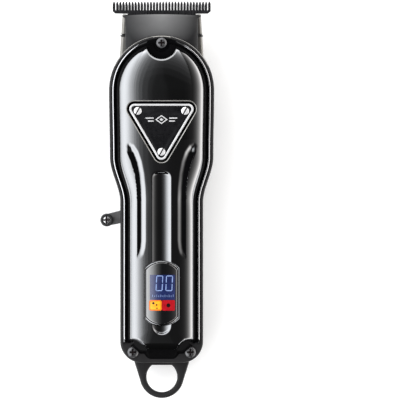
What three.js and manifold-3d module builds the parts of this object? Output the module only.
// A cordless hair clipper with a T-blade, lying on its back.
// Millimetres. +Z is out of the front face, +Y runs towards the blade, +X is to the right.
// The origin is on the flat back, on the centre plane.
import * as THREE from 'three';
import { LoftGeometry } from 'three/addons/geometries/LoftGeometry.js';
import { mergeVertices } from 'three/addons/utils/BufferGeometryUtils.js';
import Module from 'manifold-3d';

const wasm = await Module();
wasm.setup();

// ---- Driving dimensions ----

const GAP = 0.3; // left between pieces that touch
const WALL = 1.8;

// Body outline seen from the front: a straight handle, a waist, a wider head and an elliptical arch
const HANDLE_HALF = 17.4;
const HEAD_HALF = 21.7;
const HEAD_SWELL = 0.35;
const BOTTOM_Y = -68.4;
const CORNER_RADIUS = 9;
const WAIST_LOW = -1;
const WAIST_HIGH = 18;
const ARCH_START = 46;
const ARCH_RISE = 22.9;
const SPINE_LOW = -50; // the crown's ridge runs along the centre plane from here to ARCH_START

// Levels above the back
const REAR_TOP = 12; // joint between the rear housing and the front frame
const HANDLE_EDGE = 24; // top edge of the front frame
const HEAD_EDGE = 28;
const ARCH_EDGE = 30.4;
const HANDLE_CROWN = 30.5; // highest line of the front cover
const HEAD_CROWN = 35.5;
const CROWN_POWER = 4; // a flat ridge, a rounded shoulder and a steep foot

// The front cover's edge: a raised bead with a groove inside it
const COVER_INSET = 1.4;
const CROWN_INSET = 3.2;
const COVER_WALL = 2;
const COVER_BOTTOM = -67.4;
const SKIRT_DEPTH = 1.7;
const BEAD_HEIGHT = 0.55;
const GROOVE_DEPTH = 0.5;
const LEDGE_Y = -60.5; // the frame is solid below this line
const SCREW_LAND = 31; // floor of the scallop round the top screw
const SCALLOP_RADIUS = 6.3;
const NOTCH_RADIUS = 3.9; // cut out of the cover round each bottom screw

// Hanging loop
const LOOP_CENTRE = -74.2;
const LOOP_RADIUS = 9.3;
const LOOP_ROOT_HALF = 11.5;
const LOOP_HEIGHT = 5.2;
const HOLE_CENTRE = -74.6;
const HOLE_RADIUS = 6.5;
const HOLE_FLAT = Math.PI * 0.28; // the hole's flat top starts at this angle

// Battery and motor
const BATTERY_RADIUS = 9.25;
const BATTERY_LENGTH = 65;
const BATTERY_Y = -24.5;
const BATTERY_Z = 11.5;
const MOTOR_RADIUS = 10.2;
const MOTOR_FLAT = 7.7;
const MOTOR_REAR = 15;
const MOTOR_FRONT = 44;
const MOTOR_Z = 17;
const SHAFT_RADIUS = 1;
const THROW = 1; // offset of the eccentric pin, half the cutter's stroke
const BEARING_RADIUS = 2.5;

// Head: neck, blades and hood
const NECK_LOW = 53;
const SEAL_Y = 69.15;
const NECK_TOP = 78;
const NECK_WALL = 1.6;
const NECK_FRONT = 24;
const HOOD_LOW = 58.5;
const HOOD_TOP = 77.9;
const HOOD_HALF = 15.3;
const HOOD_EDGE = 24.8;
const BLADE_HALF = 20.6;
const BLADE_BACK = 22.6;
const BLADE_THICKNESS = 1.2;
const BAND_LOW = 78.3;
const SLOT_ROOT = 79.7;
const TOOTH_SHOULDER = 82.4;
const TOOTH_TIP = 83.4;
const TOOTH_COUNT = 32;
const CUTTER_TIP = 82.4;
const CUTTER_BACK = 21.1;

// Gap lever: it swings about PIVOT and its cam pin shifts the adjuster rod
const PIVOT = new THREE.Vector2(-9.9, -5.4);
const LEVER_TILT = 12.8 * Math.PI / 180;
const LEVER_SWING = 20 * Math.PI / 180;
const LEVER_LENGTH = 13.54;
const LEVER_HALF = 2.7;
const LEVER_Z = 17;
const LEVER_THICKNESS = 2;
const CAM_RADIUS = 2.6;
const ROD_X = PIVOT.x - CAM_RADIUS;
const ROD_Z = 14;
const ROD_THICKNESS = 1.8;

// Fasteners
const TOP_SCREW = new THREE.Vector2(0, 65.7);
const BOTTOM_SCREW = new THREE.Vector2(12.05, -63.9);
const BADGE_SCREWS = { left: [-9.9, 37.2], right: [9.9, 37.2], bottom: [0, 20.1] };
const BLADE_SCREW = new THREE.Vector2(11.5, 71.5);

// Badge and display
const BADGE_TOP = 40.2;
const BADGE_APEX = 16.8;
const BADGE_HALF = 13.4;
const BADGE_CORNER = 2.2;
const BADGE_FLOOR = 32.9;
const LENS_LOW = -51.9;
const LENS_HIGH = -26.2;
const LENS_HALF = 6.5;
const LENS_TOP = 31.4;
const LENS_RADIUS = 18.2;
const BOARD_TOP = 24.2;
const BOARD_THICKNESS = 1.2;
const SWITCH_Y = -50.3; // the switch under the display's lower end

// ---- Solids ----

/** A closed three.js geometry as a solid, without the triangles that collapse to a line. */
function solid(geometry) {
  const bare = new THREE.BufferGeometry();
  bare.setAttribute('position', geometry.attributes.position);
  bare.setIndex(geometry.index);
  const merged = mergeVertices(bare, 1e-4);
  const index = merged.index.array;
  const triangles = [];
  for (let i = 0; i < index.length; i += 3) {
    const [a, b, c] = [index[i], index[i + 1], index[i + 2]];
    if (a !== b && b !== c && c !== a) {
      triangles.push(a, b, c);
    }
  }
  return new wasm.Manifold(new wasm.Mesh({
    numProp: 3,
    vertProperties: new Float32Array(merged.attributes.position.array),
    triVerts: new Uint32Array(triangles),
  }));
}

function geometryOf(body) {
  const mesh = body.getMesh();
  const geometry = new THREE.BufferGeometry();
  geometry.setAttribute('position', new THREE.BufferAttribute(mesh.vertProperties, 3));
  geometry.setIndex(new THREE.BufferAttribute(mesh.triVerts, 1));
  geometry.computeVertexNormals();
  return geometry;
}

function box([x0, x1], [y0, y1], [z0, z1]) {
  const geometry = new THREE.BoxGeometry(x1 - x0, y1 - y0, z1 - z0);
  geometry.translate((x0 + x1) / 2, (y0 + y1) / 2, (z0 + z1) / 2);
  return solid(geometry);
}

/** A cylinder along Z. */
function post(radius, [x, y], [z0, z1], sides = 16) {
  const geometry = new THREE.CylinderGeometry(radius, radius, z1 - z0, sides);
  geometry.rotateX(Math.PI / 2);
  geometry.translate(x, y, (z0 + z1) / 2);
  return solid(geometry);
}

/** A cylinder along Y. */
function rod(radius, [x, z], [y0, y1], sides = 16) {
  const geometry = new THREE.CylinderGeometry(radius, radius, y1 - y0, sides);
  geometry.translate(x, (y0 + y1) / 2, z);
  return solid(geometry);
}

/** A shape in the XY plane, raised from z0 to z1. */
function raise(shape, [z0, z1], curveSegments = 6) {
  const geometry = new THREE.ExtrudeGeometry(shape, { depth: z1 - z0, bevelEnabled: false, curveSegments });
  geometry.translate(0, 0, z0);
  return solid(geometry);
}

/** A turned piece about Z, from a profile of [radius, height] pairs that starts and ends on the axis. */
function turned(profile, sides = 16) {
  const geometry = new THREE.LatheGeometry(profile.map(([r, z]) => new THREE.Vector2(r, z)), sides);
  geometry.rotateX(Math.PI / 2);
  return solid(geometry);
}

/** A round wire through the given points. */
function wire(points, radius, steps, sides = 8) {
  const section = new THREE.Shape();
  section.absarc(0, 0, radius, 0, 2 * Math.PI);
  const curveSegments = sides / 2;
  const path = new THREE.CatmullRomCurve3(points.map(([x, y, z]) => new THREE.Vector3(x, y, z)));
  return solid(new THREE.ExtrudeGeometry(section, { steps, extrudePath: path, curveSegments }));
}

/** A closed polygon through [x, y] pairs. */
function polygon(points) {
  return new THREE.Shape(points.map(([x, y]) => new THREE.Vector2(x, y)));
}

function smooth(value, low, high) {
  return THREE.MathUtils.smoothstep(value, low, high);
}

// ---- The body's form ----

function halfWidth(y) {
  const waist = (HEAD_HALF - HANDLE_HALF) * smooth(y, WAIST_LOW, WAIST_HIGH);
  return HANDLE_HALF + waist + HEAD_SWELL * smooth(y, WAIST_HIGH, ARCH_START);
}

function edgeLevel(y) {
  const waist = (HEAD_EDGE - HANDLE_EDGE) * smooth(y, WAIST_LOW, WAIST_HIGH + 8);
  return HANDLE_EDGE + waist + (ARCH_EDGE - HEAD_EDGE) * smooth(y, ARCH_START, ARCH_START + ARCH_RISE);
}

function crownLevel(y) {
  return HANDLE_CROWN + (HEAD_CROWN - HANDLE_CROWN) * smooth(y, WAIST_LOW - 6, WAIST_HIGH + 8);
}

/** Height share of the crown at a share of the way from the ridge to the edge. */
function crownShare(share) {
  return (1 - share ** CROWN_POWER) ** (1 / CROWN_POWER);
}

/** The body's outline, moved in by inset, anticlockwise from the middle of the bottom edge. */
function outline(inset, bottom = BOTTOM_Y + inset) {
  const radius = CORNER_RADIUS - inset;
  const half = [new THREE.Vector2(0, bottom)];
  const cornerSteps = 4;
  for (let i = 0; i <= cornerSteps; i += 1) {
    const angle = (i / cornerSteps - 1) * Math.PI / 2;
    const x = HANDLE_HALF - CORNER_RADIUS + radius * Math.cos(angle);
    half.push(new THREE.Vector2(x, bottom + radius + radius * Math.sin(angle)));
  }
  const waistSteps = 6;
  half.push(new THREE.Vector2(HANDLE_HALF - inset, -27));
  for (let i = 0; i <= waistSteps; i += 1) {
    const y = THREE.MathUtils.lerp(WAIST_LOW, WAIST_HIGH, i / waistSteps);
    half.push(new THREE.Vector2(halfWidth(y) - inset, y));
  }
  half.push(new THREE.Vector2(halfWidth(32) - inset, 32));
  const archSteps = 8;
  for (let i = 0; i <= archSteps; i += 1) {
    const angle = i / archSteps * Math.PI / 2;
    const x = i === archSteps ? 0 : (halfWidth(ARCH_START) - inset) * Math.cos(angle);
    half.push(new THREE.Vector2(x, ARCH_START + (ARCH_RISE - inset) * Math.sin(angle)));
  }
  const mirrored = half.slice(1, -1).reverse().map((p) => new THREE.Vector2(-p.x, p.y));
  return [...half, ...mirrored];
}

/** One closed ring: the outline shrunk to a share of its distance from the ridge line, at level(y). */
function ring(points, share, level) {
  return points.map((p) => {
    const spine = THREE.MathUtils.clamp(p.y, SPINE_LOW, ARCH_START);
    const y = spine + share * (p.y - spine);
    return new THREE.Vector3(share * p.x, y, level(y));
  });
}

/** Sections joined in order. A first or last section shrunk to a line or a point needs no cap. */
function stack(sections, capped = false) {
  return solid(new LoftGeometry(sections, { capStart: capped, capEnd: capped }));
}

/** A prism on the body's outline, between two levels that may change along Y. */
function prism(inset, low, high, bottom) {
  const points = outline(inset, bottom);
  return stack([ring(points, 0, low), ring(points, 1, low), ring(points, 1, high), ring(points, 0, high)]);
}

/** The crown's rings, from its foot up to the ridge. */
function crownRings(inset, foot, peak, bottom, steps) {
  const points = outline(inset, bottom);
  const rings = [];
  for (let i = 0; i <= steps; i += 1) {
    const share = Math.cos(i / steps * Math.PI / 2);
    const rise = i === steps ? 1 : crownShare(share);
    rings.push(ring(points, i === steps ? 0 : share, (y) => foot(y) + (peak(y) - foot(y)) * rise));
  }
  return rings;
}

/** The back's form: a flat land rounded up into straight side walls. */
function backForm(inset, floor, top) {
  const points = outline(inset);
  const land = 0.66;
  const height = 8.5 - floor / 2;
  const rings = [ring(points, 0, () => floor)];
  const steps = 5;
  for (let i = 0; i <= steps; i += 1) {
    const angle = i / steps * Math.PI / 2;
    const z = floor + height * (1 - Math.cos(angle));
    rings.push(ring(points, land + (1 - land) * Math.sin(angle), () => z));
  }
  rings.push(ring(points, 1, () => top), ring(points, 0, () => top));
  return stack(rings);
}

/** Height of the cover's outer face where the crown is straight along Y. */
function coverHeight(x, y) {
  const foot = edgeLevel(y) - GROOVE_DEPTH;
  const share = Math.abs(x) / (halfWidth(y) - CROWN_INSET);
  return foot + (crownLevel(y) - foot) * crownShare(share);
}

// ---- The head's forms ----

/** Rounded section of the neck at y, made larger by grow. */
function neckSection(y, grow) {
  const half = THREE.MathUtils.mapLinear(y, 60, NECK_TOP, 17.6, 16.5) + grow;
  const low = THREE.MathUtils.mapLinear(y, 60, NECK_TOP, 7, 12) - grow;
  const high = NECK_FRONT + grow;
  const corners = [[half, high, 1.2, 0], [-half, high, 1.2, 1], [-half, low, 4, 2], [half, low, 4, 3]];
  const steps = 3;
  const points = [];
  for (const [x, z, radius, quarter] of corners) {
    for (let i = 0; i <= steps; i += 1) {
      const angle = (quarter + i / steps) * Math.PI / 2;
      const px = x - Math.sign(x) * radius + radius * Math.cos(angle);
      const pz = z - (z === high ? 1 : -1) * radius + radius * Math.sin(angle);
      points.push(new THREE.Vector3(px, y, pz));
    }
  }
  return points.reverse();
}

function neckForm(grow, [y0, y1]) {
  return stack([neckSection(y0, grow), neckSection(y1, grow)], true);
}

/** Height of the hood's outer face. */
function hoodHeight(x, y) {
  const rise = 3.8 - 1.4 * smooth(y, 70, HOOD_TOP);
  return HOOD_EDGE + rise * crownShare(Math.min(Math.abs(x) / HOOD_HALF, 1));
}

/** The hood's section at y between two offsets from its outer face; its top edge is slightly arched. */
function hoodSection(y, outer, floor) {
  const steps = 10;
  const top = [];
  for (let i = 0; i <= steps; i += 1) {
    const share = Math.sin((i / steps - 0.5) * Math.PI);
    const x = share * HOOD_HALF;
    const sideways = share * outer;
    const bow = y === HOOD_TOP ? 0.4 * share ** 2 : 0;
    top.push(new THREE.Vector3(x + sideways, y - bow, hoodHeight(x, y) + outer));
  }
  const [first, last] = [top[0], top[steps]];
  return [new THREE.Vector3(first.x, first.y, floor), ...top, new THREE.Vector3(last.x, last.y, floor)];
}

function hoodForm(outer, floor, [y0, y1]) {
  const stations = [y0, 70, 74, y1];
  return stack(stations.map((y) => hoodSection(y, outer, floor)), true);
}

// ---- The scene ----

const clipper = new THREE.Group();

function add(name, body, look, parent = clipper) {
  const mesh = new THREE.Mesh(geometryOf(body), new THREE.MeshStandardMaterial(look));
  mesh.name = name;
  parent.add(mesh);
  return mesh;
}

function addAt(name, body, look, [x, y, z], parent = clipper) {
  const mesh = add(name, body, look, parent);
  mesh.position.set(x, y, z);
  return mesh;
}

const LOOKS = {
  mattePlastic: { color: 0x2f2e30, roughness: 0.6, metalness: 0 },
  blackChrome: { color: 0x1b1c1f, roughness: 0.12, metalness: 0.9 },
  satinBlack: { color: 0x3b3b3d, roughness: 0.4, metalness: 0.3 },
  blackPlate: { color: 0x17181a, roughness: 0.35, metalness: 0.2 },
  polishedSteel: { color: 0xe6e6e8, roughness: 0.12, metalness: 1 },
  blackScrew: { color: 0x2a2b2d, roughness: 0.25, metalness: 0.9 },
  blackBlade: { color: 0x202022, roughness: 0.35, metalness: 0.8 },
  groundSteel: { color: 0xb9babc, roughness: 0.3, metalness: 1 },
  nickel: { color: 0xb5b0a6, roughness: 0.3, metalness: 1 },
  leverSteel: { color: 0x5a5a5a, roughness: 0.5, metalness: 0.6 },
  smokedLens: { color: 0x14161c, roughness: 0.05, metalness: 0 },
  circuitBoard: { color: 0x0f5132, roughness: 0.5, metalness: 0 },
  chip: { color: 0x111111, roughness: 0.4, metalness: 0 },
  batteryWrap: { color: 0x2c6fb0, roughness: 0.3, metalness: 0 },
  whiteNylon: { color: 0xe8e6df, roughness: 0.5, metalness: 0 },
  brass: { color: 0xc9a64a, roughness: 0.3, metalness: 1 },
  magnet: { color: 0x3a3a3c, roughness: 0.5, metalness: 0.6 },
  springSteel: { color: 0xc8c8ca, roughness: 0.25, metalness: 1 },
  redWire: { color: 0xb3161b, roughness: 0.5, metalness: 0 },
  blackWire: { color: 0x161616, roughness: 0.5, metalness: 0 },
};

// ---- Screws ----

/** A domed screw with a cross recess, its seat at z = 0 and its shank pointing down. */
function screw(headRadius, headHeight, shankRadius, shankLength, sides = 12) {
  const body = turned([
    [0, -shankLength],
    [shankRadius, -shankLength + shankRadius / 2],
    [shankRadius, 0],
    [headRadius, 0],
    [headRadius, headHeight * 0.5],
    [headRadius * 0.7, headHeight],
    [0, headHeight],
  ], sides);
  const slot = [-headRadius * 0.62, headRadius * 0.62];
  const width = [-headRadius * 0.14, headRadius * 0.14];
  const depth = [headHeight * 0.35, headHeight * 2];
  return body.subtract(box(slot, width, depth)).subtract(box(width, slot, depth));
}

// ---- Housing ----

function leverSlot() {
  const middle = PIVOT.y - 0.4;
  const half = LEVER_HALF + 1.8;
  const levels = [LEVER_Z - GAP, LEVER_Z + LEVER_THICKNESS + GAP];
  return box([-HANDLE_HALF - 1, -HANDLE_HALF + 3], [middle - half, middle + half], levels);
}

function rearHousing() {
  const outer = backForm(0, 0, REAR_TOP);
  const cavity = backForm(WALL, 2, REAR_TOP + 1);
  const bosses = [1, -1].map((side) => {
    const place = [side * BOTTOM_SCREW.x, BOTTOM_SCREW.y];
    return post(2.8, place, [1, REAR_TOP], 12).intersect(outer).subtract(post(1.25, place, [6, 14], 8));
  });
  const port = box([-4.8, 4.8], [BOTTOM_Y - 1, BOTTOM_Y + 4], [3.7, 7.5]); // the charging socket's opening
  return outer.subtract(cavity)
    .add(bosses[0])
    .add(bosses[1])
    .subtract(port)
    .subtract(neckForm(GAP, [NECK_LOW - 1, NECK_TOP]));
}

/** The hanging loop's plan: straight sides into a half ring, round a hole with a flat top. */
function loopPlan() {
  const rootOverlap = 2;
  const lean = 0.17;
  const shape = new THREE.Shape();
  shape.moveTo(-LOOP_ROOT_HALF, BOTTOM_Y + rootOverlap);
  shape.lineTo(-LOOP_ROOT_HALF, BOTTOM_Y);
  shape.absarc(0, LOOP_CENTRE, LOOP_RADIUS, Math.PI - lean, 2 * Math.PI + lean);
  shape.lineTo(LOOP_ROOT_HALF, BOTTOM_Y);
  shape.lineTo(LOOP_ROOT_HALF, BOTTOM_Y + rootOverlap);
  const hole = new THREE.Path();
  hole.absarc(0, HOLE_CENTRE, HOLE_RADIUS, HOLE_FLAT, Math.PI - HOLE_FLAT, true);
  shape.holes.push(hole);
  return shape;
}

function frontFrame() {
  const low = () => REAR_TOP + GAP;
  const tall = () => HEAD_CROWN + 5;
  const walls = prism(0, low, edgeLevel)
    .subtract(prism(WALL, () => REAR_TOP, tall, LEDGE_Y))
    .subtract(prism(COVER_INSET - GAP, (y) => edgeLevel(y) - SKIRT_DEPTH - GAP, tall, LEDGE_Y - WALL));
  const screwHoles = [1, -1].map((side) => {
    return post(1.3, [side * BOTTOM_SCREW.x, BOTTOM_SCREW.y], [REAR_TOP - 1, HANDLE_EDGE + 1], 8);
  });
  return walls
    .add(raise(loopPlan(), [REAR_TOP + GAP, REAR_TOP + GAP + LOOP_HEIGHT], 10))
    .subtract(screwHoles[0])
    .subtract(screwHoles[1])
    .subtract(leverSlot())
    .subtract(neckForm(GAP, [NECK_LOW - 1, NECK_TOP]))
    .subtract(hoodForm(GAP, NECK_FRONT - 1, [HOOD_LOW - 1, NECK_TOP]));
}

// ---- Front cover ----

/** A triangle with its flat side up and round corners, grown outwards by grow. */
function badgePlan(grow) {
  const radius = BADGE_CORNER + grow;
  const topY = BADGE_TOP - BADGE_CORNER;
  const apexY = BADGE_APEX + BADGE_CORNER;
  const cornerX = BADGE_HALF - BADGE_CORNER;
  const lean = Math.atan2(topY - apexY, cornerX);
  const shape = new THREE.Shape();
  shape.absarc(cornerX, topY, radius, lean - Math.PI / 2, Math.PI / 2);
  shape.absarc(-cornerX, topY, radius, Math.PI / 2, 1.5 * Math.PI - lean);
  shape.absarc(0, apexY, radius, 1.5 * Math.PI - lean, 1.5 * Math.PI + lean);
  shape.closePath();
  return shape;
}

/** The display's plan: straight sides with shallow arcs at both ends. */
function displayPlan(grow) {
  const half = LENS_HALF + grow;
  const rise = 3;
  const radius = (half ** 2 + rise ** 2) / (2 * rise);
  const spread = Math.asin(half / radius);
  const [low, high] = [LENS_LOW - grow + radius, LENS_HIGH + grow - radius];
  const shape = new THREE.Shape();
  shape.absarc(0, high, radius, Math.PI / 2 - spread, Math.PI / 2 + spread);
  shape.absarc(0, low, radius, 1.5 * Math.PI - spread, 1.5 * Math.PI + spread);
  shape.closePath();
  return shape;
}

/** A long round-ended plan on the centre line. */
function slotPlan(half, low, high) {
  const shape = new THREE.Shape();
  shape.absarc(0, high - half, half, 0, Math.PI);
  shape.absarc(0, low + half, half, Math.PI, 2 * Math.PI);
  shape.closePath();
  return shape;
}

/** Shallow channel down the middle of the handle. */
function centreFlute() {
  const [half, depth, low, high] = [3.95, 1, -56.7, 12.1];
  const radius = (half ** 2 + depth ** 2) / (2 * depth);
  const path = [];
  for (let y = low - 2; y < high + 6; y += 9) {
    path.push([0, y, crownLevel(y) + radius - depth]);
  }
  return wire(path, radius, 10, 24).intersect(raise(slotPlan(half, low, high), [20, 40]));
}

/** Curved groove beside the channel; side is 1 on the right and -1 on the left. */
function sideGroove(side) {
  const [radius, depth] = [2.2, 1.2];
  const straight = 8.3; // its place along the handle
  const route = [
    [14.6, 23, 0.2],
    [14, 21.5, 0.8],
    [11.6, 15, 1],
    [9.4, 9.5, 1],
    [straight, 4, 1],
    [straight, -10, 1],
    [straight, -21, 1],
    [straight, -24.5, 0],
  ];
  const path = route.map(([x, y, share]) => [side * x, y, coverHeight(x, y) + radius - depth * share]);
  return wire(path, radius, 14, 10);
}

/** The cover's solid form: skirt, bead, groove and crown. */
function coverForm() {
  const fade = (y) => smooth(y, -60, -57);
  const rings = [
    ring(outline(COVER_INSET, COVER_BOTTOM), 0, (y) => edgeLevel(y) - SKIRT_DEPTH),
    ring(outline(COVER_INSET, COVER_BOTTOM), 1, (y) => edgeLevel(y) - SKIRT_DEPTH),
    ring(outline(COVER_INSET, COVER_BOTTOM), 1, (y) => edgeLevel(y) + 0.1),
    ring(outline(1.65, COVER_BOTTOM), 1, (y) => edgeLevel(y) + BEAD_HEIGHT * fade(y)),
    ring(outline(2.15, COVER_BOTTOM), 1, (y) => edgeLevel(y) + BEAD_HEIGHT * fade(y)),
    ring(outline(2.5, COVER_BOTTOM), 1, (y) => edgeLevel(y) - GROOVE_DEPTH * fade(y)),
    ...crownRings(CROWN_INSET, (y) => edgeLevel(y) - GROOVE_DEPTH, crownLevel, COVER_BOTTOM, 7),
  ];
  return stack(rings);
}

function coverCavity() {
  const inset = COVER_INSET + COVER_WALL;
  const foot = (y) => edgeLevel(y) - GROOVE_DEPTH - COVER_WALL;
  const rings = [
    ring(outline(inset, COVER_BOTTOM + COVER_WALL), 0, () => REAR_TOP),
    ring(outline(inset, COVER_BOTTOM + COVER_WALL), 1, () => REAR_TOP),
    ...crownRings(CROWN_INSET + COVER_WALL, foot, (y) => crownLevel(y) - COVER_WALL,
      COVER_BOTTOM + COVER_WALL, 5),
  ];
  return stack(rings);
}

function frontCover() {
  const form = coverForm();
  const above = HEAD_CROWN + 5;
  const scallop = [TOP_SCREW.x, TOP_SCREW.y - 0.4];
  const landBoss = post(SCALLOP_RADIUS + 1.5, scallop, [SCREW_LAND - 5, HEAD_CROWN], 24).intersect(form);
  const badgePad = raise(badgePlan(3), [BADGE_FLOOR - 1.6, HEAD_CROWN]).intersect(form);
  let cover = form.subtract(coverCavity()).add(landBoss).add(badgePad);
  cover = cover
    .subtract(post(SCALLOP_RADIUS, scallop, [SCREW_LAND, above], 24))
    .subtract(post(1.7, TOP_SCREW.toArray(), [HANDLE_EDGE, above], 12))
    .subtract(raise(badgePlan(1.6), [BADGE_FLOOR, above]))
    .subtract(raise(displayPlan(0.9), [HANDLE_EDGE, above]))
    .subtract(centreFlute())
    .subtract(sideGroove(1))
    .subtract(sideGroove(-1))
    .subtract(box([-HANDLE_HALF, HANDLE_HALF], [BOTTOM_Y, SPINE_LOW - 3], [REAR_TOP, HANDLE_EDGE + GAP]))
    .subtract(hoodForm(GAP, NECK_FRONT - 8, [HOOD_LOW - 4, NECK_TOP]))
    .subtract(neckForm(GAP, [NECK_LOW - 1, NECK_TOP]));
  for (const side of [1, -1]) {
    const notch = [side * BOTTOM_SCREW.x, BOTTOM_SCREW.y];
    const [inner, outer] = [notch[0] - side, notch[0] + 5 * side].sort((a, b) => a - b);
    cover = cover
      .subtract(post(NOTCH_RADIUS, notch, [HANDLE_EDGE, above], 20))
      .subtract(box([inner, outer], [BOTTOM_Y - 1, notch[1]], [HANDLE_EDGE, above]));
  }
  return cover;
}

function addHousing() {
  add('rear_housing', rearHousing(), LOOKS.mattePlastic);
  add('front_frame', frontFrame(), LOOKS.mattePlastic);
  add('front_cover', frontCover(), LOOKS.blackChrome);
  addAt('top_screw', screw(2.2, 1.6, 1.25, 9), LOOKS.blackScrew, [...TOP_SCREW.toArray(), 31.2]);
  for (const [name, side] of [['left', -1], ['right', 1]]) {
    const place = [side * BOTTOM_SCREW.x, BOTTOM_SCREW.y, HANDLE_EDGE + 0.2];
    addAt(`bottom_screw_${name}`, screw(2.3, 1.6, 1, 14), LOOKS.blackScrew, place);
  }
}

// ---- Badge ----

function addBadge() {
  const thickness = 1.1;
  const level = BADGE_FLOOR + 0.2;
  const plate = raise(badgePlan(-0.85 - 0.1), [level, level + thickness], 4);
  const frame = raise(badgePlan(0), [level, level + thickness + 0.35], 4)
    .subtract(raise(badgePlan(-0.85), [level - 1, level + 3], 4));
  let drilled = plate;
  for (const place of Object.values(BADGE_SCREWS)) {
    drilled = drilled.subtract(post(0.8, place, [level - 1, level + 3], 10));
  }
  add('badge_plate', drilled, LOOKS.blackPlate);
  add('badge_frame', frame, LOOKS.polishedSteel);
  for (const [name, [x, y]] of Object.entries(BADGE_SCREWS)) {
    const body = screw(1.6, 0.8, 0.55, thickness - 0.1, 12);
    addAt(`badge_screw_${name}`, body, LOOKS.polishedSteel, [x, y, level + thickness + 0.15]);
  }
}

// ---- Display and electronics ----

/** Everything under the display's curved face, shifted down by drop. */
function displayCurve(drop) {
  return rod(LENS_RADIUS, [0, LENS_TOP - LENS_RADIUS - drop], [LENS_LOW - 3, LENS_HIGH + 3], 60);
}

function addDisplay() {
  const lensBack = LENS_TOP - 2.4;
  const bezelBack = LENS_TOP - 3.2;
  const lens = raise(displayPlan(0), [lensBack, LENS_TOP + 1])
    .intersect(displayCurve(0))
    .add(post(1.2, [0, SWITCH_Y], [lensBack - 1, lensBack + 0.5], 10));
  const bezel = raise(displayPlan(0.6), [bezelBack, LENS_TOP + 1])
    .intersect(displayCurve(0.1))
    .subtract(raise(displayPlan(0.12), [bezelBack - 1, LENS_TOP + 2]));
  add('display_lens', lens, LOOKS.smokedLens);
  add('display_bezel', bezel, LOOKS.polishedSteel);
  const moduleHalf = LENS_HALF - 0.8;
  const moduleSpan = [LENS_LOW + 4.4, LENS_HIGH - 4.3];
  add('display_module', box([-moduleHalf, moduleHalf], moduleSpan, [BOARD_TOP + GAP, 26.6]), LOOKS.chip);
}

function addElectronics() {
  const partZ = BOARD_TOP + GAP;
  const chipY = -19.5;
  const chipHalf = 2.5;
  const switchHalf = 2;
  const board = box([-8.5, 8.5], [-57.5, -9], [BOARD_TOP - BOARD_THICKNESS, BOARD_TOP]);
  const chip = box([-chipHalf, chipHalf], [chipY - chipHalf, chipY + chipHalf], [partZ, partZ + 1]);
  const stem = post(0.9, [0, SWITCH_Y], [partZ + 1, partZ + 2.8], 10);
  const switchSpan = [SWITCH_Y - switchHalf, SWITCH_Y + switchHalf];
  const button = box([-switchHalf, switchHalf], switchSpan, [partZ, partZ + 1.6]);
  add('main_board', board, LOOKS.circuitBoard);
  add('control_chip', chip, LOOKS.chip);
  add('power_switch', button.add(stem), LOOKS.chip);

  const socketTop = 7.2;
  const socketLow = BOTTOM_Y + 1;
  const boardLow = socketTop + 0.4;
  add('charge_board', box([-7, 7], [-66, -58.6], [boardLow, boardLow + BOARD_THICKNESS]), LOOKS.circuitBoard);
  const mouth = box([-4, 4], [BOTTOM_Y, -62], [socketTop - 2.5, socketTop - 0.6]);
  const tongue = box([-3.2, 3.2], [socketLow + 0.8, -61], [socketTop - 1.8, socketTop - 1.3]);
  const socket = box([-4.5, 4.5], [socketLow, LEDGE_Y], [socketTop - 3.1, socketTop])
    .subtract(mouth)
    .add(tongue);
  add('charge_socket', socket, LOOKS.groundSteel);
}

function addBattery() {
  const cell = new THREE.Group();
  cell.position.set(0, BATTERY_Y, BATTERY_Z);
  clipper.add(cell);
  const half = BATTERY_LENGTH / 2;
  const button = 3; // the raised positive end
  const profile = [
    [0, -half],
    [BATTERY_RADIUS, -half],
    [BATTERY_RADIUS, half - 1],
    [button, half - 1],
    [button, half],
    [0, half],
  ];
  const can = solid(new THREE.LatheGeometry(profile.map(([r, y]) => new THREE.Vector2(r, y)), 24));
  add('battery_cell', can, LOOKS.batteryWrap, cell);
  const tab = () => box([-3, 3], [0, 0.4], [-4, 4]);
  addAt('battery_tab_positive', tab(), LOOKS.nickel, [0, half + GAP, 0], cell);
  addAt('battery_tab_negative', tab(), LOOKS.nickel, [0, -half - GAP - 0.4, 0], cell);
  const ends = [BATTERY_Y - half, BATTERY_Y + half];
  const saddle = box([-9, 9], ends, [19.3, 22.7])
    .add(box([-11.4, -8], [PIVOT.y - 3, PIVOT.y + 3], [19.3, 21.6]))
    .subtract(rod(BATTERY_RADIUS + GAP, [0, BATTERY_Z], [ends[0] - 1, ends[1] + 1], 32))
    .subtract(post(SHAFT_RADIUS + 0.15, PIVOT.toArray(), [19, 22], 12));
  add('battery_cradle', saddle, LOOKS.whiteNylon);
}

// ---- Motor and drive, in a group on the motor's axis ----

/** A short cylinder with two flats, like the motor's can. */
function canForm(radius, flat, span) {
  return rod(radius, [0, 0], span, 28).intersect(box([-radius - 1, radius + 1], span, [-flat, flat]));
}

function ringAlongY(inner, outer, span, sides = 16) {
  return rod(outer, [0, 0], span, sides).subtract(rod(inner, [0, 0], [span[0] - 1, span[1] + 1], sides));
}

function magnet(side) {
  const shape = new THREE.Shape();
  const spread = 0.62;
  const middle = side > 0 ? 0 : Math.PI;
  shape.absarc(0, 0, 8.8, middle - spread, middle + spread);
  shape.absarc(0, 0, 7.4, middle + spread, middle - spread, true);
  shape.closePath();
  const geometry = new THREE.ExtrudeGeometry(shape, { depth: 22, bevelEnabled: false, curveSegments: 6 });
  geometry.rotateX(-Math.PI / 2);
  geometry.translate(0, MOTOR_REAR + 3, 0);
  return solid(geometry);
}

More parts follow.
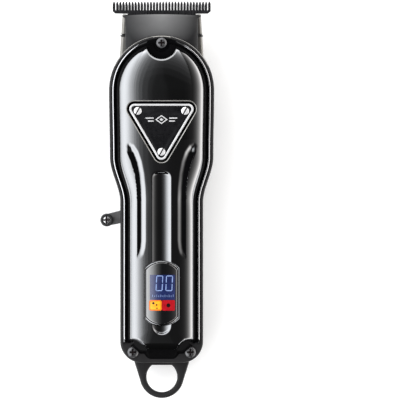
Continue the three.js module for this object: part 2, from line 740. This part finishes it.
function addMotor() {
  const motor = new THREE.Group();
  motor.position.set(0, 0, MOTOR_Z);
  clipper.add(motor);

  const screwX = 6;
  const across = (y0, y1, radius, x) => rod(radius, [x, 0], [y0, y1], 10);
  let can = canForm(MOTOR_RADIUS, MOTOR_FLAT, [MOTOR_REAR, MOTOR_FRONT])
    .subtract(canForm(MOTOR_RADIUS - 0.9, MOTOR_FLAT - 0.9, [MOTOR_REAR - 1, MOTOR_FRONT - 1]))
    .subtract(rod(3.3, [0, 0], [MOTOR_FRONT - 2, MOTOR_FRONT + 1]));
  let bracket = box([-10.6, 10.6], [46.8, 48.2], [-14.6, 10])
    .subtract(rod(1.8, [0, 0], [46, 49], 12));
  for (const side of [1, -1]) {
    can = can.subtract(across(MOTOR_FRONT - 2, MOTOR_FRONT + 1, 1.1, side * screwX));
    bracket = bracket.subtract(across(46, 49, 1.1, side * screwX));
  }
  const bell = canForm(MOTOR_RADIUS, MOTOR_FLAT, [MOTOR_REAR - 2.4, MOTOR_REAR - GAP])
    .add(box([5.2, 6.8], [MOTOR_REAR - 4.2, MOTOR_REAR - 2], [-0.4, 0.4]))
    .add(box([-6.8, -5.2], [MOTOR_REAR - 4.2, MOTOR_REAR - 2], [-0.4, 0.4]))
    .subtract(rod(1.3, [0, 0], [MOTOR_REAR - 3, MOTOR_REAR], 12));
  add('motor_can', can, LOOKS.groundSteel, motor);
  add('motor_rear_bell', bell, LOOKS.chip, motor);
  add('motor_bushing', ringAlongY(1.25, 3, [MOTOR_FRONT - 1.5, 46.4]), LOOKS.brass, motor);
  add('motor_bracket', bracket, LOOKS.groundSteel, motor);
  add('motor_magnet_left', magnet(-1), LOOKS.magnet, motor);
  add('motor_magnet_right', magnet(1), LOOKS.magnet, motor);
  for (const [name, side] of [['left', -1], ['right', 1]]) {
    const fastener = addAt(`motor_screw_${name}`, screw(1.7, 0.9, 0.75, 5, 10), LOOKS.springSteel,
      [side * screwX, 48.4, 0], motor);
    fastener.rotation.x = -Math.PI / 2;
  }

  const shaft = rod(SHAFT_RADIUS, [0, 0], [MOTOR_REAR - 2.2, 52]);
  const hub = ringAlongY(1.2, 3.6, [49.3, 52.4]);
  const cap = rod(3.6, [0, 0], [52.3, 53.3]);
  const pin = rod(1.2, [0, THROW], [53.2, 59]);
  add('motor_shaft', shaft, LOOKS.springSteel, motor);
  add('motor_armature', ringAlongY(1.2, 6.7, [MOTOR_REAR + 4, MOTOR_FRONT - 5], 18), LOOKS.brass, motor);
  add('eccentric', hub.add(cap).add(pin), LOOKS.whiteNylon, motor);
  const bearing = ringAlongY(1.35, BEARING_RADIUS, [54.4, 58.2], 18);
  addAt('drive_bearing', bearing, LOOKS.springSteel, [0, 0, THROW], motor);
}

// ---- Head ----

function neckFrame() {
  const span = [NECK_LOW, SEAL_Y - 0.45];
  return neckForm(0, span)
    .subtract(neckForm(-NECK_WALL, [span[0] - 1, span[1] + 1]))
    .subtract(post(1.45, TOP_SCREW.toArray(), [20, 26], 10));
}

function neckSeal() {
  const span = [SEAL_Y - 0.2, SEAL_Y + 0.2];
  const lip = 0.8; // it stands proud of the neck on the sides and the back
  return neckForm(lip, span)
    .intersect(box([-20, 20], span, [0, NECK_FRONT + 0.35]))
    .subtract(neckForm(-NECK_WALL, [span[0] - 1, span[1] + 1]));
}

function bladeHolder() {
  const span = [SEAL_Y + 0.45, NECK_TOP];
  const open = [span[0] - 1, span[1] + 1];
  const padTop = BLADE_BACK - 0.25;
  const hollow = neckForm(-NECK_WALL, open).intersect(box([-20, 20], open, [0, padTop - 1.9]));
  let holder = neckForm(0, span)
    .subtract(hollow)
    .subtract(box([-15.15, 15.15], open, [padTop, NECK_FRONT + 1]))
    .subtract(box([-8.7, 8.7], open, [padTop - 3, NECK_FRONT + 1]));
  for (const side of [1, -1]) {
    holder = holder.subtract(post(1.05, [side * BLADE_SCREW.x, BLADE_SCREW.y], [20, 24], 10));
  }
  return holder;
}

function hood() {
  const shell = hoodForm(0, HOOD_EDGE - 0.1, [HOOD_LOW, HOOD_TOP]);
  const inside = hoodForm(-1.2, HOOD_EDGE - 3, [HOOD_LOW - 1, HOOD_TOP + 1]);
  return shell.subtract(inside).subtract(post(1.5, TOP_SCREW.toArray(), [24, 32], 10));
}

/** A T-shaped blade's plan with a row of teeth along its top edge. */
function bladePlan({ half, stemHalf, stemLow, bandLow, root, shoulder, tip, count, toothShare }) {
  const pitch = 2 * half / count;
  const toothHalf = pitch * toothShare / 2;
  const corner = 1.1;
  const shape = new THREE.Shape();
  shape.moveTo(-stemHalf, stemLow);
  shape.lineTo(stemHalf, stemLow);
  shape.lineTo(stemHalf, bandLow);
  shape.lineTo(half - corner, bandLow);
  shape.quadraticCurveTo(half, bandLow, half, bandLow + corner);
  for (let i = count - 1; i >= 0; i -= 1) {
    const x = -half + pitch * (i + 0.5);
    const right = i === count - 1 ? half : x + toothHalf;
    const left = i === 0 ? -half : x - toothHalf;
    shape.lineTo(right, root);
    shape.lineTo(right, shoulder);
    shape.lineTo(x + toothHalf * 0.35, tip);
    shape.lineTo(x - toothHalf * 0.35, tip);
    shape.lineTo(left, shoulder);
    shape.lineTo(left, root);
  }
  shape.lineTo(-half, bandLow + corner);
  shape.quadraticCurveTo(-half, bandLow, -half + corner, bandLow);
  shape.lineTo(-stemHalf, bandLow);
  shape.closePath();
  return shape;
}

function fixedBlade() {
  const plan = bladePlan({
    half: BLADE_HALF,
    stemHalf: 14.8,
    stemLow: 69.8,
    bandLow: BAND_LOW,
    root: SLOT_ROOT,
    shoulder: TOOTH_SHOULDER,
    tip: TOOTH_TIP,
    count: TOOTH_COUNT,
    toothShare: 0.52,
  });
  let blade = raise(plan, [BLADE_BACK, BLADE_BACK + BLADE_THICKNESS], 3);
  for (const side of [1, -1]) {
    const place = [side * BLADE_SCREW.x, BLADE_SCREW.y];
    blade = blade.subtract(post(1.2, place, [BLADE_BACK - 1, BLADE_BACK + 3], 10));
  }
  return blade;
}

const CUTTER_PEG_X = 4;
const CUTTER_PEG_Y = 75.5;

function cutterBlade() {
  const plan = bladePlan({
    half: 19.05,
    stemHalf: 7,
    stemLow: 73.8,
    bandLow: BAND_LOW,
    root: SLOT_ROOT + 0.1,
    shoulder: CUTTER_TIP - 0.5,
    tip: CUTTER_TIP,
    count: TOOTH_COUNT - 2,
    toothShare: 0.55,
  });
  let blade = raise(plan, [CUTTER_BACK, CUTTER_BACK + BLADE_THICKNESS], 3);
  for (const side of [1, -1]) {
    blade = blade.subtract(post(1, [side * CUTTER_PEG_X, CUTTER_PEG_Y], [20, 24], 10));
  }
  return blade;
}

/** The yoke that the eccentric drives from side to side, with pegs for the cutter. */
function cutterCarrier() {
  const forkHalf = BEARING_RADIUS + 2 * THROW + 0.15;
  const outer = forkHalf + 2;
  const [low, high] = [13.4, CUTTER_BACK - GAP];
  let body = box([-outer, outer], [54.2, 61.9], [low, high])
    .subtract(box([-forkHalf, forkHalf], [54, 60.2], [low - 1, high + 1]))
    .add(box([-5.5, 5.5], [61, 77], [18, high]))
    .add(box([-4, 4], [65.2, 67.2], [16.6, 18.5]));
  for (const side of [1, -1]) {
    body = body.add(post(0.8, [side * CUTTER_PEG_X, CUTTER_PEG_Y], [high - 0.5, high + 1.4], 10));
  }
  return body;
}

/** The plate that the adjuster rod shifts along Y; the carrier's rib runs in its slot. */
function cutterCarriage() {
  const top = 17.6;
  const bottom = ROD_Z + ROD_THICKNESS + GAP;
  return box([-11, 11], [62.3, 70.5], [bottom, top])
    .add(box([ROD_X - 1.4, -10.5], [59.4, 66], [bottom, top]))
    .add(post(0.8, [ROD_X, 61], [ROD_Z + 0.2, bottom + 0.5], 10))
    .subtract(box([-6.5, 6.5], [65, 67.4], [bottom - 1, top + 1]));
}

function adjusterRod() {
  const pinY = PIVOT.y - CAM_RADIUS * Math.sin(LEVER_SWING / 2);
  const span = [ROD_Z, ROD_Z + ROD_THICKNESS];
  const slot = [span[0] - 1, span[1] + 1];
  return box([ROD_X - 1, ROD_X + 1], [pinY + 1, 58.5], span)
    .add(box([ROD_X - 1.6, ROD_X + 1.25], [pinY - 2, pinY + 2], span))
    .add(post(1.9, [ROD_X, 61], span, 14))
    .add(box([ROD_X - 1, ROD_X + 1], [58, 60], span))
    .subtract(box([ROD_X - 0.9, ROD_X + 0.9], [pinY - 0.8, pinY + 0.8], slot))
    .subtract(post(1, [ROD_X, 61], slot, 10));
}

function addHead() {
  add('neck_frame', neckFrame(), LOOKS.nickel);
  add('neck_seal', neckSeal(), LOOKS.chip);
  add('blade_holder', bladeHolder(), LOOKS.nickel);
  add('hood', hood(), LOOKS.satinBlack);
  add('fixed_blade', fixedBlade(), LOOKS.blackBlade);
  for (const [name, side] of [['left', -1], ['right', 1]]) {
    const place = [side * BLADE_SCREW.x, BLADE_SCREW.y, BLADE_BACK + BLADE_THICKNESS + 0.1];
    addAt(`blade_screw_${name}`, screw(2, 0.95, 0.85, 3, 12), LOOKS.springSteel, place);
  }
  add('cutter_blade', cutterBlade(), LOOKS.groundSteel);
  add('cutter_carrier', cutterCarrier(), LOOKS.whiteNylon);
  add('cutter_carriage', cutterCarriage(), LOOKS.whiteNylon);
  add('adjuster_rod', adjusterRod(), LOOKS.springSteel);
  const arm = [[8.4, 63.5, 18.5], [8.4, 68, 18.7], [8, 71.2, 18], [6.4, 72.4, 17.2]];
  const mirrored = arm.map(([x, y, z]) => [-x, y, z]);
  const springPath = [...mirrored, [0, 72.6, 17.2], ...arm.reverse()];
  add('tension_spring', wire(springPath, 0.45, 18, 6), LOOKS.springSteel);
}

// ---- Gap lever, in a group on its pivot ----

function addLever() {
  const lever = new THREE.Group();
  lever.position.set(PIVOT.x, PIVOT.y, 0);
  lever.rotation.z = LEVER_TILT;
  clipper.add(lever);

  const [low, high] = [LEVER_Z, LEVER_Z + LEVER_THICKNESS];
  const camAngle = Math.PI + LEVER_SWING / 2 - LEVER_TILT;
  const camPlace = [CAM_RADIUS * Math.cos(camAngle), CAM_RADIUS * Math.sin(camAngle)];
  const hubRadius = 2.2;
  const plan = new THREE.Shape();
  plan.absarc(0, 0, hubRadius, -Math.PI / 2, Math.PI / 2);
  plan.lineTo(-5, LEVER_HALF);
  plan.lineTo(-LEVER_LENGTH + 0.6, LEVER_HALF * 0.93);
  plan.absarc(-LEVER_LENGTH, 0, 2.5, Math.PI * 0.42, Math.PI * 1.58);
  plan.lineTo(-5, -LEVER_HALF);
  plan.closePath();
  const arm = raise(plan, [low, high], 5)
    .add(post(0.7, camPlace, [ROD_Z + 0.2, low + 0.5], 10))
    .subtract(post(SHAFT_RADIUS + 0.15, [0, 0], [low - 1, high + 1], 12))
    .subtract(post(0.85, [-LEVER_LENGTH, 0], [low - 1, high + 1], 10));

  const [knobRadius, knobHeight, dish, bore] = [2.75, 3.2, 1.75, 0.85];
  const knob = turned([
    [0, 0],
    [knobRadius - 0.25, 0],
    [knobRadius, 0.4],
    [knobRadius, knobHeight - 0.8],
    [knobRadius - 0.45, knobHeight - 0.1],
    [dish, knobHeight],
    [dish, knobHeight - 1],
    [bore, knobHeight - 1],
    [bore, 0.6],
    [0, 0.6],
  ], 20);
  const seat = high + 0.25;
  add('lever_arm', arm, LOOKS.leverSteel, lever);
  addAt('lever_knob', knob.subtract(post(bore, [0, 0], [-1, 1], 20)), LOOKS.blackPlate,
    [-LEVER_LENGTH, 0, seat], lever);
  addAt('lever_knob_screw', screw(1.5, 0.9, 0.55, 4.4, 12), LOOKS.polishedSteel,
    [-LEVER_LENGTH, 0, seat + knobHeight - 0.85], lever);
  addAt('lever_pivot_pin', post(SHAFT_RADIUS, [0, 0], [15.7, 21.4], 12), LOOKS.springSteel, [0, 0, 0], lever);
}

// ---- Wires ----

function addWires() {
  const radius = 0.5;
  const top = 25;
  const toMotor = (side) => {
    const route = [[3.5, -11, top], [5, -2, top + 0.3], [6, 7, 24.5], [6.2, 9.9, 21], [6, 9.9, 17.8]];
    return route.map(([x, y, z]) => [side * x, y, z]);
  };
  const toChargeBoard = (x) => {
    const bend = [[-0.2, -58.7, 24.4], [-0.8, -59.5, 18], [-0.8, -59.6, 13], [0.2, -60.5, 9.7]];
    return [[0, -56, top], ...bend].map(([shift, y, z]) => [x + shift, y, z]);
  };
  const routes = {
    motor_wire_red: toMotor(1),
    motor_wire_black: toMotor(-1),
    battery_wire_red: [[1, -11, top], [1, 0, top], [1, 8.8, 23.6], [1, 10, 20], [1, 9.6, 14]],
    battery_wire_black: [[3, -56, top], [3, -58.7, 24.4], [3, -59.3, 19], [3, -58.9, 13]],
    charge_wire_red: toChargeBoard(-4),
    charge_wire_black: toChargeBoard(-6.4),
  };
  for (const [name, route] of Object.entries(routes)) {
    add(name, wire(route, radius, 8), name.endsWith('red') ? LOOKS.redWire : LOOKS.blackWire);
  }
}

addHousing();
addBadge();
addDisplay();
addElectronics();
addBattery();
addMotor();
addHead();
addLever();
addWires();

export default clipper;
